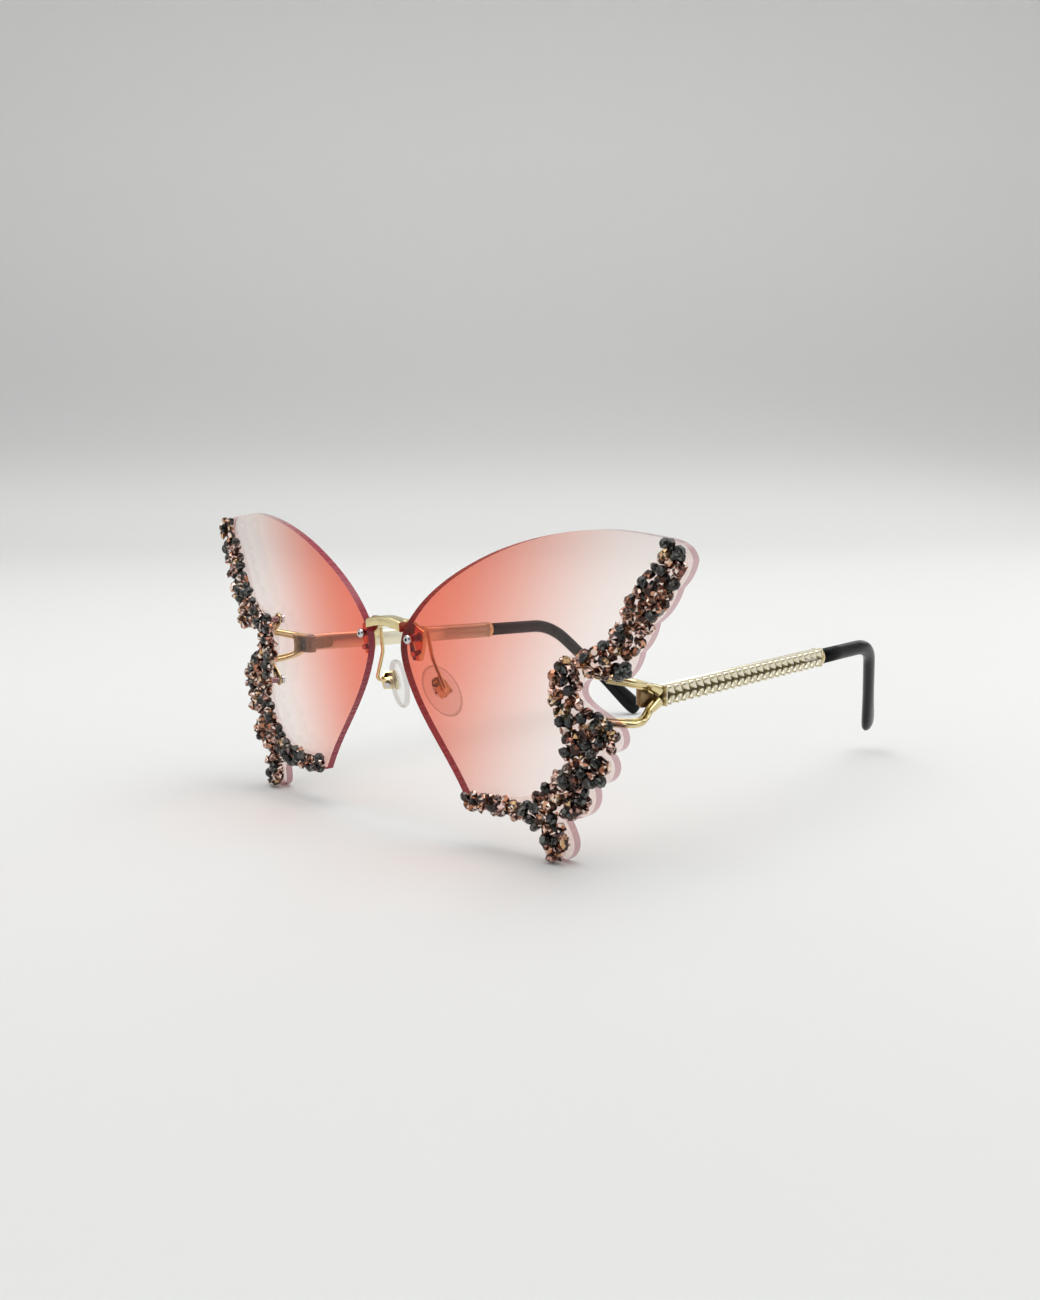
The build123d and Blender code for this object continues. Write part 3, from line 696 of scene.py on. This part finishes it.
def stone_ring(shape, plane, sizes, reach, height, turn):
    """A ring of a stone's corners at one height."""
    steps = [turn + math.tau * step / sizes.facets for step in range(sizes.facets)]
    corners = [Vector((reach * math.cos(step), reach * math.sin(step), height)) for step in steps]
    return [shape.verts.new(plane @ corner) for corner in corners]


def girdle(shape, lower, upper):
    """Faces from one ring to the next."""
    count = len(lower)
    faces = []
    for step in range(count):
        after = (step + 1) % count
        faces.append(shape.faces.new((lower[step], lower[after], upper[after], upper[step])))
    return faces


def fan(shape, ring, tip):
    """Faces from a ring to one point."""
    count = len(ring)
    return [shape.faces.new((ring[step], ring[(step + 1) % count], tip)) for step in range(count)]


def cut_stone(shape, sizes, plane, size_share, chance):
    """One stone on its plane: copper ones come to a point, smoky ones to a dome."""
    smoky = chance.random() < sizes.smoky
    radius = sizes.radius * size_share
    turn = chance.random() * math.tau
    tone = chance.random()
    tip_height = DOME_HEIGHT * radius if smoky else sizes.point * size_share
    twist = 0.0 if smoky else math.pi / sizes.facets
    edge = stone_ring(shape, plane, sizes, radius, GIRDLE_HEIGHT * radius, turn)
    lower = stone_ring(shape, plane, sizes, radius, 0, turn)
    table_depth = sizes.crown * size_share
    table = stone_ring(shape, plane, sizes, TABLE_REACH * radius, -table_depth, turn)
    faces = girdle(shape, lower, edge) + girdle(shape, table, lower)
    faces.append(shape.faces.new(list(reversed(table))))
    below = edge
    for reach, rise in DOME_RINGS if smoky else POINT_RINGS:
        height = rise * tip_height / DOME_HEIGHT
        ring = stone_ring(shape, plane, sizes, reach * radius, height, turn + twist)
        if smoky:
            faces += girdle(shape, below, ring)
        else:
            for corner in range(sizes.facets):
                after = (corner + 1) % sizes.facets
                faces.append(shape.faces.new((below[corner], below[after], ring[corner])))
                faces.append(shape.faces.new((below[after], ring[after], ring[corner])))
        below = ring
    faces += fan(shape, below, shape.verts.new(plane @ Vector((0, 0, tip_height))))
    layer = shape.loops.layers.float_color["stone_tone"]
    for face in faces:
        face.material_index = 1 if smoky else 0
        # A facet's random number picks a painted dark reflection or a painted glint
        facet = chance.random()
        for loop in face.loops:
            loop[layer] = (tone, facet, 0.0, 1.0)


def bed_tree(side):
    """A search tree of one resin bed's mesh."""
    mesh = frame["nodes"][f"stone_bed_{side}"].data
    places = [vertex.co.copy() for vertex in mesh.vertices]
    return BVHTree.FromPolygons(places, [face.vertices[:] for face in mesh.polygons])


def on_bed(tree, front, across, up):
    """Where the bed's front lies at a place, and which way it faces, or nothing beside it."""
    hit, normal, _, _ = tree.ray_cast(Vector((across, front, up)), BACK)
    least_facing = 0.7
    if hit is None or abs(normal.y) < least_facing:
        return None
    return hit, normal if normal.y < 0 else -normal


def scattered(tree, low, high, spacing, margin, tries, chance):
    """Places on the bed's front, clear of its edge, no nearer to each other than the spacing."""
    found = []
    front = low.y - 10 * MM
    points_round = 8
    turns = [math.tau * step / points_round for step in range(points_round)]
    stray_share = 0.05
    stray_margin = 0.35
    for _ in range(tries):
        across = chance.uniform(low.x, high.x)
        up = chance.uniform(low.z, high.z)
        reach = margin * (stray_margin if chance.random() < stray_share else 1.0)
        place = on_bed(tree, front, across, up)
        if place is None or any((place[0] - other).length < spacing for other, _ in found):
            continue
        around = [(reach * math.cos(turn), reach * math.sin(turn)) for turn in turns]
        if all(on_bed(tree, front, across + aside, up + above) for aside, above in around):
            found.append(place)
    return found


def stone_axis(outward, chance):
    """Which way a stone's point looks: mostly outwards, some on their side, some turned over."""
    draw = chance.random()
    least, most = next((least, most) for limit, least, most in STONE_LEANS if draw < limit)
    lean = math.radians(chance.uniform(least, most))
    aside = outward.cross(UP).normalized()
    axis = Matrix.Rotation(lean, 3, aside) @ outward
    return Matrix.Rotation(chance.uniform(0, math.tau), 3, outward) @ axis


def lay_stones(shape, sizes, side):
    """Two loose layers of stones over one lens's bed, kept inside the whole glasses' box."""
    shape.loops.layers.float_color.new("stone_tone")
    chance = random.Random(sizes.seed + SIDES[side])
    low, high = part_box(f"stone_bed_{side}")
    tree = bed_tree(side)
    room = sizes.radius * 1.05
    sideways_seat = sizes.radius * 0.6
    layers = ((sizes.spacing, 0.0, 12000), (sizes.upper_spacing, sizes.upper_lift, 4000))
    for spacing, lift, tries in layers:
        for hit, outward in scattered(tree, low, high, spacing, sizes.margin, tries, chance):
            axis = stone_axis(outward, chance)
            upright = axis.dot(outward)
            seat = sizes.crown if upright > 0 else sizes.point
            lying = math.sqrt(max(0, 1 - upright**2))
            centre = hit + outward * (lift + seat * abs(upright) + sideways_seat * lying)
            for axis_index in range(3):
                least = cad_box[0][axis_index] + room
                most = cad_box[1][axis_index] - room
                centre[axis_index] = min(max(centre[axis_index], least), most)
            upright_turn = axis.to_track_quat("Z", "X").to_matrix().to_4x4()
            plane = Matrix.Translation(centre) @ upright_turn
            cut_stone(shape, sizes, plane, chance.choice(STONE_SHARES), chance)


class EYEWEAR_OT_set_stones(bpy.types.Operator):
    """Set loose layers of pointed stones on the outer edge of each lens"""

    bl_idname = "eyewear.set_stones"
    bl_label = "Set Stones"

    def execute(self, context):
        sizes = context.scene.eyewear_stones
        materials = [stone_paint("copper"), stone_paint("smoky")]
        for side in SIDES:
            made_object(
                f"pointed_stones_{side}",
                lambda shape, side=side: lay_stones(shape, sizes, side),
                materials,
                "front",
                [f"stones_{side}"],
            )
        return {"FINISHED"}


def smoothed(points, steps=6):
    """A soft curve through the points, whose sizes after their places soften with them."""
    padded = [points[0], *points, points[-1]]
    found = []
    for before, start, end, after in zip(padded, padded[1:], padded[2:], padded[3:]):
        for step in range(steps):
            part = step / steps
            level = 2 * start + (end - before) * part
            bend = (2 * before - 5 * start + 4 * end - after) * part**2
            twist = (3 * start - 3 * end + after - before) * part**3
            found.append((level + bend + twist) * 0.5)
    return found + [points[-1]]


def swept(shape, place, route, out=None, sides=10):
    """A closed tube of ovals along a route. Each point carries its half height and half depth."""
    centres = [Vector(point[:3]) for point in route]
    rings = []
    for index, centre in enumerate(centres):
        ahead = centres[min(index + 1, len(centres) - 1)]
        heading = (ahead - centres[max(index - 1, 0)]).normalized()
        deep = (out - heading * out.dot(heading) if out else heading.cross(UP)).normalized()
        wide = heading.cross(deep)
        ring = []
        for step in range(sides):
            turn = math.tau * step / sides
            rise = wide * route[index][3] * math.cos(turn)
            corner = centre + rise + deep * route[index][4] * math.sin(turn)
            ring.append(shape.verts.new(place @ corner))
        rings.append(ring)
    for first, second in zip(rings, rings[1:]):
        girdle(shape, first, second)
    shape.faces.new(list(reversed(rings[0])))
    shape.faces.new(rings[-1])


def fork_arms(shape, finish, side):
    """Two rounded arms from the lens to the seam, each with a thin lip along the inside."""
    place = Matrix.Diagonal((SIDES[side], 1, 1, 1))
    lip_inset = 0.3 * MM
    lip_overlap = 0.45
    for inward, points in ((-1, UPPER_ARM), (1, LOWER_ARM)):
        arm = [Vector(point) * MM for point in points]
        swept(shape, place, smoothed(arm), sides=16)
        lip = []
        for x, y, z, half_height, _ in arm[ARM_LIP_FROM:-1]:
            gap = half_height + (1 - lip_overlap) * finish.lip
            lip.append(Vector((x - lip_inset, y, z + inward * gap, finish.lip, finish.lip)))
        swept(shape, place, smoothed(lip))


def rounded_bridge(material, radius):
    """A copy of the bridge with its sharp edges rounded, in its place."""
    flat_below = math.radians(3)
    sharp_above = math.radians(40)
    merged_within = 0.005 * MM
    shape = bmesh.new()
    shape.from_mesh(frame["nodes"]["bridge"].data)
    bmesh.ops.remove_doubles(shape, verts=shape.verts[:], dist=merged_within)
    bmesh.ops.dissolve_limit(
        shape, angle_limit=flat_below, verts=shape.verts[:], edges=shape.edges[:]
    )
    edges = [edge for edge in shape.edges if edge.is_manifold]
    sharp = [edge for edge in edges if edge.calc_face_angle(0) > sharp_above]
    bmesh.ops.bevel(
        shape, geom=sharp, offset=radius, segments=3, profile=0.5, affect="EDGES", clamp_overlap=True
    )
    mesh = bpy.data.meshes.new("rounded_bridge")
    shape.to_mesh(mesh)
    shape.free()
    mesh.materials.append(material)
    mesh.shade_smooth()
    mesh.set_sharp_from_angle(angle=math.radians(50))
    mounted(mesh, "front", ["bridge"])


class EYEWEAR_OT_plate_metal(bpy.types.Operator):
    """Plate the bridge, forks, hinges, wires and collars, and brighten the screws"""

    bl_idname = "eyewear.plate_metal"
    bl_label = "Plate Metal"

    def execute(self, context):
        finish = context.scene.eyewear_metal
        gold = gold_paint(finish)
        hinges = both("front_hinge", "temple_hinge")
        plated = ["bridge"]
        plated += both("bridge_nut", "pad_box", "pad_tang", "pad_wire", "fork", "temple_collar")
        heads = both("bridge_screw")
        steel = both("pad_screw", "fork_screws", "hinge_screw", "temple_core")
        dress(plated, gold)
        dress(steel, steel_paint(finish))
        dress(heads, steel_paint(finish, "screw_head_steel", heads[0]))
        smooth_curves(plated + hinges + heads + steel, 35)
        rounded_bridge(gold, finish.rounding)
        dress(hinges, hinge_paint(finish))
        for side in SIDES:
            made_object(
                f"fork_arms_{side}",
                lambda shape, side=side: fork_arms(shape, finish, side),
                [gold],
                "front",
                [f"fork_{side}"],
                smooth=True,
            )
        return {"FINISHED"}


def temple_frame(sizes, side):
    """The temple bar's own frame: origin at the start of its links, y back along it, z up."""
    joint = next(joint for joint in frame["joints"] if joint["name"] == f"{side}_temple_fold")
    pin = Matrix.Translation(Vector(joint["pos_m"]))
    fold = Matrix.Rotation(-sizes.right_fold if side == "right" else 0.0, 4, "Z")
    start = Matrix.Translation(Vector((SIDES[side] * sizes.start_aside, sizes.start_back, 0)))
    slope = Matrix.Rotation(sizes.left_lift if side == "left" else sizes.right_lift, 4, "X")
    return pin @ fold @ start @ slope


def block(shape, place, low, high, material_index):
    """A plain block between two corners."""
    corners = [
        shape.verts.new(place @ Vector((x, y, z)))
        for x in (low.x, high.x)
        for y in (low.y, high.y)
        for z in (low.z, high.z)
    ]
    for quad in ((0, 1, 3, 2), (4, 6, 7, 5), (0, 4, 5, 1), (2, 3, 7, 6), (0, 2, 6, 4), (1, 5, 7, 3)):
        face = shape.faces.new([corners[index] for index in quad])
        face.material_index = material_index


def cast_links(shape, sizes, side):
    """Round lobes above and slanting bars below, over a strip of painted shade, on a smooth crowned
    back.
    """
    place = temple_frame(sizes, side)
    outer = SIDES[side]
    span = sizes.lead + sizes.count * sizes.pitch
    half_web = 0.55 * MM
    depth = sizes.proud - half_web
    half_seam = 0.28 * MM
    top_room = 0.25 * MM
    reach = sizes.half_height - half_seam - top_room
    link_middle = 0.45
    for index in range(sizes.count):
        start = sizes.lead + (index + link_middle) * sizes.pitch
        for half, radius, rows in ((1, sizes.lobe, LOBE_ROWS), (-1, sizes.bar, BAR_ROWS)):
            route = []
            for rise, lean, width in rows:
                along = start + sizes.lean * lean
                height = half * (half_seam + reach * rise)
                route.append((outer * half_web, along, height, radius * width, depth))
            swept(shape, place, route, OUT)
    back_aside = -outer * 0.6 * MM
    back_height = 2.25 * MM
    back_depth = 1.0 * MM
    back = [(back_aside, along, 0, back_height, back_depth) for along in (0.0, span)]
    swept(shape, place, back, OUT, sides=24)
    for face in shape.faces:
        face.smooth = len(face.verts) == 4
    # The web's middle strip is painted shade, seen through the gaps; gold above and below it
    web_top = 2.05 * MM
    shade_top = 1.55 * MM
    shade_low = -0.9 * MM
    strips = ((-web_top, shade_low, 0), (shade_low, shade_top, 1), (shade_top, web_top, 0))
    for low, high, material_index in strips:
        low_corner = Vector((-half_web, 0, low))
        block(shape, place, low_corner, Vector((half_web, span, high)), material_index)
    half_end = Vector((1.5 * MM, 0, 2.2 * MM))
    block(shape, place, -half_end, half_end + BACK * sizes.lead, 0)
    tail = BACK * span
    block(shape, place, tail - half_end, tail + half_end + BACK * sizes.tail, 0)


class EYEWEAR_OT_cast_temples(bpy.types.Operator):
    """Cast the temples' rounded chevron links"""

    bl_idname = "eyewear.cast_temples"
    bl_label = "Cast Temples"

    def execute(self, context):
        sizes = context.scene.eyewear_links
        gold = bpy.data.materials["pale_gold"]
        # The second material is painted shade for the gaps between the links
        recess = gap_shade_paint(context.scene.eyewear_metal)
        for side in SIDES:
            made_object(
                f"chevron_links_{side}",
                lambda shape, side=side: cast_links(shape, sizes, side),
                [gold, recess],
                f"{side}_temple",
                [f"temple_links_{side}"],
            )
        return {"FINISHED"}


def bent_tip(shape, sizes, links, side):
    """A sleeve of ovals: straight, bent down and in, then wider to a blunt end."""
    start = BACK * (links.lead + links.count * links.pitch + links.tail + sizes.collar)
    corner = start + BACK * sizes.straight
    leg = Vector((-SIDES[side] * sizes.inward, sizes.reach, -sizes.drop))
    heading = leg.normalized()
    first = corner - BACK * sizes.corner
    last = corner + heading * sizes.corner
    centres = [start, (start + first) / 2]
    bend_steps = 12
    for step in range(bend_steps + 1):
        part = step / bend_steps
        centres.append(first * (1 - part) ** 2 + corner * 2 * part * (1 - part) + last * part**2)
    route = [(*centre, sizes.height / 2, sizes.thickness / 2) for centre in centres]
    end_clearance = 0.3 * MM
    end = corner + leg - heading * end_clearance
    for along, height, thickness in PADDLE_ROWS:
        centre = end - heading * sizes.paddle * (1 - along)
        route.append((*centre, sizes.height / 2 * height, sizes.thickness / 2 * thickness))
    swept(shape, temple_frame(links, side), route, OUT, sides=24)


class EYEWEAR_OT_finish_plastics(bpy.types.Operator):
    """Sleeve the temples' ends in black and finish the clear nose pads"""

    bl_idname = "eyewear.finish_plastics"
    bl_label = "Finish Tips and Pads"

    def execute(self, context):
        tips = context.scene.eyewear_tips
        links = context.scene.eyewear_links
        finish = context.scene.eyewear_plastics
        black = acetate_paint(finish)
        for side in SIDES:
            made_object(
                f"black_tip_{side}",
                lambda shape, side=side: bent_tip(shape, tips, links, side),
                [black],
                f"{side}_temple",
                [f"temple_tip_{side}"],
                smooth=True,
            )
        pads = both("nose_pad")
        dress(pads, pad_paint(finish))
        smooth_curves(pads, 40)
        return {"FINISHED"}


def studio_paper(settings, heading, camera_place):
    """Pale paper, with painted light and shade changing softly along the floor and on up the backdrop.
    """
    paint = Paint("studio_paper")
    across, depth, up = paint.places()
    start = camera_place.x * heading.x + camera_place.y * heading.y
    run = (across * heading.x + depth * heading.y - start + up) / settings.paper_run
    warm = Vector(settings.paper)
    stops = [(place, tuple(warm * grey)) for place, grey in PAPER_PAINTED_LIGHT]
    shade = paint.node("ValToRGB", {"stops": stops, "between_stops": "B_SPLINE"}, {0: run})
    grain = paint.noise(30, 3.0)
    shade = paint.mix(0.03 * grain, shade, (0.6, 0.6, 0.6))
    return paint.done(paint.surface(Base_Color=shade, Roughness=0.5 + 0.1 * grain))


def studio_cove(settings, camera_place, heading):
    """Floor and backdrop in one sweep, square to the camera's heading."""
    distance = 1.15
    radius = 0.55
    height = 3.0
    half_width = 4.0
    near = -1.2
    profile = [(near, 0.0), (distance, 0.0)]
    steps = 24
    for step in range(1, steps + 1):
        turn = math.pi / 2 * step / steps
        profile.append((distance + radius * math.sin(turn), radius * (1 - math.cos(turn))))
    profile.append((distance + radius, height))
    aside = heading.cross(UP)
    foot = Vector((camera_place.x, camera_place.y, 0))
    mesh = bpy.data.meshes.new("studio_cove")
    points = []
    for depth, up in profile:
        middle = foot + heading * depth + UP * up
        points += [middle - aside * half_width, middle + aside * half_width]
    faces = [(2 * i, 2 * i + 1, 2 * i + 3, 2 * i + 2) for i in range(len(profile) - 1)]
    mesh.from_pydata([tuple(point) for point in points], [], faces)
    mesh.shade_smooth()
    cove = linked("studio_cove", mesh)
    mesh.materials.append(studio_paper(settings, heading, camera_place))


def lamp(name, place, target, power, width, height):
    """A soft rectangular lamp aimed at a point."""
    light = bpy.data.lights.new(name, "AREA")
    light.shape = "RECTANGLE"
    light.size = width
    light.size_y = height
    light.energy = power
    holder = linked(name, light)
    holder.location = place
    holder.rotation_mode = "QUATERNION"
    holder.rotation_quaternion = (target - place).to_track_quat("-Z", "Y")


def photo_camera():
    """The camera at the photograph's place, with the photograph's lens."""
    turn = 0.744
    tilt = 0.1509
    roll = -0.0046
    place = Vector((222.5, -268.74, 86.0)) * MM
    heading = Vector((-math.sin(turn), math.cos(turn), 0))
    look = heading * math.cos(tilt) - UP * math.sin(tilt)
    level = heading.cross(UP)
    plumb = level.cross(look)
    right = level * math.cos(roll) + plumb * math.sin(roll)
    above = plumb * math.cos(roll) - level * math.sin(roll)
    data = bpy.data.cameras.new("photo_camera")
    data.lens = 45.0
    data.sensor_width = 36.0
    data.sensor_fit = "HORIZONTAL"
    data.clip_start = 0.01
    data.clip_end = 50.0
    camera = linked("photo_camera", data)
    turned = Matrix((right, above, -look)).transposed().to_4x4()
    camera.matrix_world = Matrix.Translation(place) @ turned
    bpy.context.scene.camera = camera
    return place, heading


def studio_world(settings, heading):
    """Soft light from all round, dimmer from the room behind the photograph's camera."""
    world = bpy.data.worlds.new("studio_light")
    paint = Paint("studio_light", world)
    toward = paint.node("TexCoord", output="Generated")
    sides = {0: toward, 1: -heading}
    behind = paint.node("VectorMath", {"operation": "DOT_PRODUCT"}, sides, output="Value")
    sky = Vector((0.93, 0.94, 0.95))
    shade = paint.mix(behind.rise(0.45, 0.85), sky, sky * settings.dim)
    light = paint.node("Background", inputs={"Color": shade, "Strength": settings.sky})
    plain = paint.node("Background", inputs={"Color": opaque(sky), "Strength": settings.sky})
    seen = paint.node("LightPath", output="Is Camera Ray")
    paint.node("OutputWorld", inputs={"Surface": paint.blend(seen, light, plain)})
    return world


class EYEWEAR_OT_build_stage(bpy.types.Operator):
    """Set the floor, the backdrop, the lamps and the camera"""

    bl_idname = "eyewear.build_stage"
    bl_label = "Build Stage"

    def execute(self, context):
        settings = context.scene.eyewear_studio
        place, heading = photo_camera()
        studio_cove(settings, place, heading)
        aside = heading.cross(UP)
        foot = UP * 0
        middle = UP * 0.04
        over = UP * 0.9 + heading * 0.1
        in_front = place - heading * 0.3 - aside * 0.5 + UP * 0.5
        in_back = heading * 0.7 + aside * 0.6 + UP * 0.5
        lamp("key_lamp", over, foot, settings.key, width=1.1, height=0.9)
        lamp("fill_lamp", in_front, middle, settings.fill, width=0.5, height=0.5)
        lamp("rim_lamp", in_back, middle, settings.rim, width=0.4, height=0.6)
        context.scene.world = studio_world(settings, heading)
        context.scene.view_settings.view_transform = "Standard"
        return {"FINISHED"}


class EYEWEAR_PT_sidebar(bpy.types.Panel):
    """Lists the steps of the finish"""

    bl_idname = "EYEWEAR_PT_sidebar"
    bl_label = "Butterfly Sunglasses"
    bl_space_type = "VIEW_3D"
    bl_region_type = "UI"
    bl_category = "Eyewear"

    def draw(self, context):
        for step in STEPS:
            self.layout.operator(step.bl_idname)


GROUPS = {
    "eyewear_lens": LensFinish,
    "eyewear_stones": StoneFinish,
    "eyewear_metal": MetalFinish,
    "eyewear_links": LinkSizes,
    "eyewear_tips": TipSizes,
    "eyewear_plastics": PlasticFinish,
    "eyewear_studio": StudioSettings,
}
STEPS = (
    EYEWEAR_OT_tint_lenses,
    EYEWEAR_OT_set_stones,
    EYEWEAR_OT_plate_metal,
    EYEWEAR_OT_cast_temples,
    EYEWEAR_OT_finish_plastics,
    EYEWEAR_OT_build_stage,
)


def register():
    for kind in (*GROUPS.values(), *STEPS, EYEWEAR_PT_sidebar):
        bpy.utils.register_class(kind)
    for name, group in GROUPS.items():
        setattr(bpy.types.Scene, name, PointerProperty(type=group))


def unregister():
    for name in GROUPS:
        delattr(bpy.types.Scene, name)
    for kind in reversed((*GROUPS.values(), *STEPS, EYEWEAR_PT_sidebar)):
        bpy.utils.unregister_class(kind)


def main():
    register()
    bpy.ops.eyewear.tint_lenses()
    bpy.ops.eyewear.set_stones()
    bpy.ops.eyewear.plate_metal()
    bpy.ops.eyewear.cast_temples()
    bpy.ops.eyewear.finish_plastics()
    bpy.ops.eyewear.build_stage()


if __name__ == "__main__":
    main()
